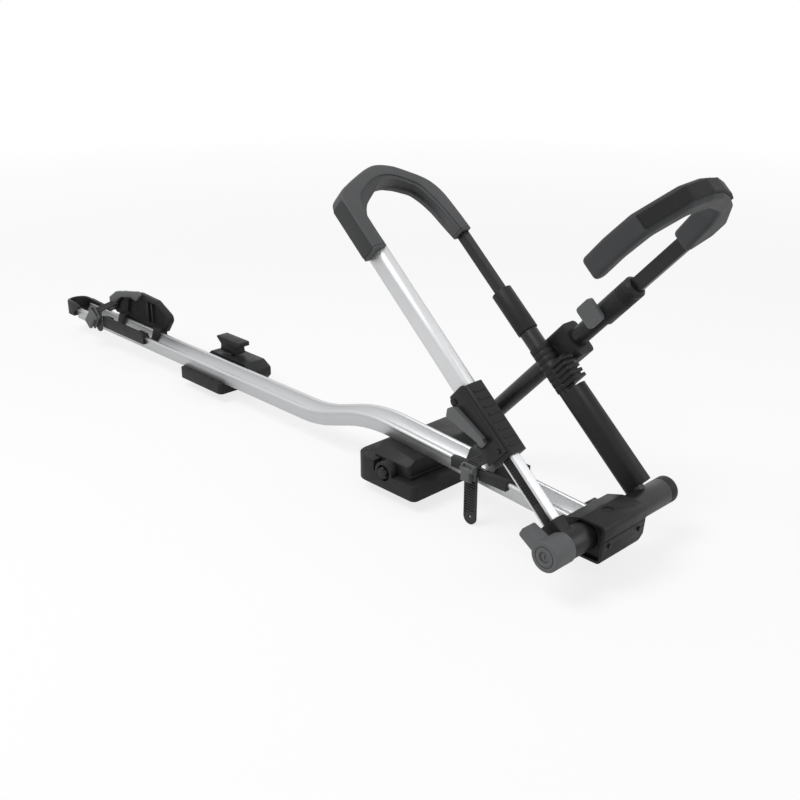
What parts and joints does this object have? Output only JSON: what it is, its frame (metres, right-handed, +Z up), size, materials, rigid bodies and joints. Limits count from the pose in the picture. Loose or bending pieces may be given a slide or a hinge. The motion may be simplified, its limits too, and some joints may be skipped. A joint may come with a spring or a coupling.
{
  "type": "roof mounted bike carrier",
  "caption": "Upright roof bike carrier: wheel tray on crossbar feet, with a telescoping hoop arm and a hooked arm that fold together to trap the front wheel.",
  "frame": {"origin": "centre of the front foot's underside, which rests on the front crossbar", "axes": "+X forward along the tray, +Y to the side of the second arm, +Z up"},
  "size_m": [1.7223, 0.309, 0.6132],
  "materials": {
    "aluminium": "clear anodised extrusion",
    "black_plastic": "fine moulded texture",
    "black_metal": "satin black powder coat",
    "grey_plastic": "fine moulded texture",
    "soft_black": "soft touch moulding",
    "strap": "ridged strap",
    "steel": "plated fastener"
  },
  "bodies": {
    "root": {"tray_rail": "aluminium", "tray_end_cap": "black_plastic", "head_housing": "black_plastic", "head_cover": "black_plastic", "head_screws": "steel", "shaft_bushes": "black_plastic", "front_foot_base": "black_plastic", "front_foot_cover": "black_plastic", "front_foot_bolt": "steel", "front_claw_pins": "steel", "arm_pivot_bracket": "black_plastic", "front_wheel_saddle": "black_plastic", "front_strap": "strap", "front_buckle_body": "grey_plastic"},
    "front_knob": {"front_torque_knob": "black_plastic"},
    "front_fore_claw": {"front_claw_fore": "black_plastic"},
    "front_aft_claw": {"front_claw_aft": "black_plastic"},
    "front_lever": {"front_buckle_lever": "grey_plastic"},
    "rear_foot": {"rear_foot_base": "black_plastic", "rear_foot_bolt": "steel", "rear_claw_pins": "steel"},
    "rear_handle": {"rear_foot_handle": "black_plastic"},
    "rear_fore_claw": {"rear_claw_fore": "black_plastic"},
    "rear_aft_claw": {"rear_claw_aft": "black_plastic"},
    "rear_holder": {"rear_wheel_cradle": "black_plastic", "holder_grip": "grey_plastic", "rear_strap": "strap", "rear_buckle_body": "grey_plastic"},
    "rear_lever": {"rear_buckle_lever": "grey_plastic"},
    "first_arm": {"shaft_tube": "black_metal", "shaft_end_cap": "black_plastic", "near_lower_bar": "aluminium", "ratchet_rack": "black_plastic", "bar_socket": "black_plastic", "far_lower_tube": "black_metal", "far_leg_guard": "black_plastic", "coupling_sleeve": "black_plastic", "cross_collar": "black_plastic"},
    "shaft_lever": {"lock_lever": "grey_plastic"},
    "lock": {"lock_cylinder": "steel"},
    "hoop": {"near_upper_tube": "aluminium", "hoop_head": "soft_black", "hoop_side_panel": "soft_black", "collar_shell": "black_plastic", "collar_plate": "black_plastic", "collar_screws": "steel", "collar_pins": "steel", "far_slim_bar": "black_metal"},
    "release": {"release_lever": "grey_plastic"},
    "pawl": {"ratchet_pawl": "steel"},
    "cross": {"cross_block": "black_plastic"},
    "second_arm": {"arm_tube": "black_metal", "arm_pivot_eye": "black_plastic", "arm_end_plug": "black_plastic", "size_sleeve": "black_plastic"},
    "hook": {"hook_bar": "black_metal", "hook_head": "soft_black", "hook_pad": "soft_black"},
    "button": {"size_button": "grey_plastic"}
  },
  "joints": [
    {"name": "arm_fold", "type": "hinge", "parent": "root", "child": "first_arm", "pos_m": [0.4, 0, 0.06], "axis": [0, 1, 0], "range_deg": [-36, 0]},
    {"name": "cross_swivel", "type": "hinge", "parent": "first_arm", "child": "cross", "pos_m": [0.19452, 0.1275, 0.24502], "axis": [0, 1, 0], "range_deg": [0, 61.7]},
    {"name": "arm_travel", "type": "slide", "parent": "cross", "child": "second_arm", "axis": [0.6844, 0, 0.7291], "range_m": [0, 0.14919]},
    {"name": "hook_slide", "type": "slide", "parent": "second_arm", "child": "hook", "axis": [0.6844, 0, 0.7291], "range_m": [-0.08, 0.06]},
    {"name": "button_pull", "type": "slide", "parent": "second_arm", "child": "button", "axis": [0, -1, 0], "range_m": [0, 0.004], "stiffness_N_per_m": 600},
    {"name": "hoop_slide", "type": "slide", "parent": "first_arm", "child": "hoop", "axis": [-0.7431, 0, 0.6691], "range_m": [-0.075, 0.18]},
    {"name": "release_pull", "type": "hinge", "parent": "hoop", "child": "release", "pos_m": [0.25828, -0.1133, 0.18357], "axis": [0.6691, 0, 0.7431], "range_deg": [0, 35], "stiffness_Nm_per_rad": 0.4},
    {"name": "pawl_swing", "type": "hinge", "parent": "hoop", "child": "pawl", "pos_m": [0.22759, -0.1007, 0.21524], "axis": [0.6691, 0, 0.7431], "range_deg": [-5.6, 0]},
    {"name": "shaft_lever_turn", "type": "hinge", "parent": "first_arm", "child": "shaft_lever", "pos_m": [0.4, -0.115, 0.06], "axis": [0, 1, 0], "range_deg": [0, 45]},
    {"name": "key_turn", "type": "hinge", "parent": "shaft_lever", "child": "lock", "pos_m": [0.4, -0.13, 0.06], "axis": [0, 1, 0], "range_deg": [0, 90]},
    {"name": "front_knob_turn", "type": "hinge", "parent": "root", "child": "front_knob", "pos_m": [0, -0.075, 0.03], "axis": [0, -1, 0], "range_deg": [0, 720]},
    {"name": "front_fore_claw_swing", "type": "hinge", "parent": "root", "child": "front_fore_claw", "pos_m": [0.062, 0, 0.013], "axis": [0, -1, 0], "range_deg": [0, 70.1]},
    {"name": "front_aft_claw_swing", "type": "hinge", "parent": "root", "child": "front_aft_claw", "pos_m": [-0.062, 0, 0.013], "axis": [0, 1, 0], "range_deg": [0, 70.1]},
    {"name": "front_buckle_open", "type": "hinge", "parent": "root", "child": "front_lever", "pos_m": [0.163, -0.0422, 0.082], "axis": [-1, 0, 0], "range_deg": [0, 75]},
    {"name": "rear_foot_slide", "type": "slide", "parent": "root", "child": "rear_foot", "axis": [1, 0, 0], "range_m": [-0.02, 0.18]},
    {"name": "rear_handle_turn", "type": "hinge", "parent": "rear_foot", "child": "rear_handle", "pos_m": [-0.62, 0.062, 0.07], "axis": [0, 0, 1], "range_deg": [0, 720]},
    {"name": "rear_fore_claw_swing", "type": "hinge", "parent": "rear_foot", "child": "rear_fore_claw", "pos_m": [-0.562, 0, 0.013], "axis": [0, -1, 0], "range_deg": [0, 70.1]},
    {"name": "rear_aft_claw_swing", "type": "hinge", "parent": "rear_foot", "child": "rear_aft_claw", "pos_m": [-0.678, 0, 0.013], "axis": [0, 1, 0], "range_deg": [0, 70.1]},
    {"name": "holder_slide", "type": "slide", "parent": "root", "child": "rear_holder", "axis": [1, 0, 0], "range_m": [-0.008, 0.075]},
    {"name": "rear_buckle_open", "type": "hinge", "parent": "rear_holder", "child": "rear_lever", "pos_m": [-1.02814, -0.0422, 0.06787], "axis": [-0.766, 0, 0.6428], "range_deg": [0, 75]}
  ],
  "couplings": [
    {"joint": "cross_swivel", "follows": "arm_fold", "ratio": -1.7084},
    {"joint": "arm_travel", "follows": "arm_fold", "m_per_rad": -0.23664},
    {"joint": "pawl_swing", "follows": "release_pull", "ratio": -0.157},
    {"joint": "front_fore_claw_swing", "follows": "front_knob_turn", "ratio": 0.097222},
    {"joint": "front_aft_claw_swing", "follows": "front_knob_turn", "ratio": 0.097222},
    {"joint": "rear_fore_claw_swing", "follows": "rear_handle_turn", "ratio": 0.097222},
    {"joint": "rear_aft_claw_swing", "follows": "rear_handle_turn", "ratio": 0.097222}
  ]
}
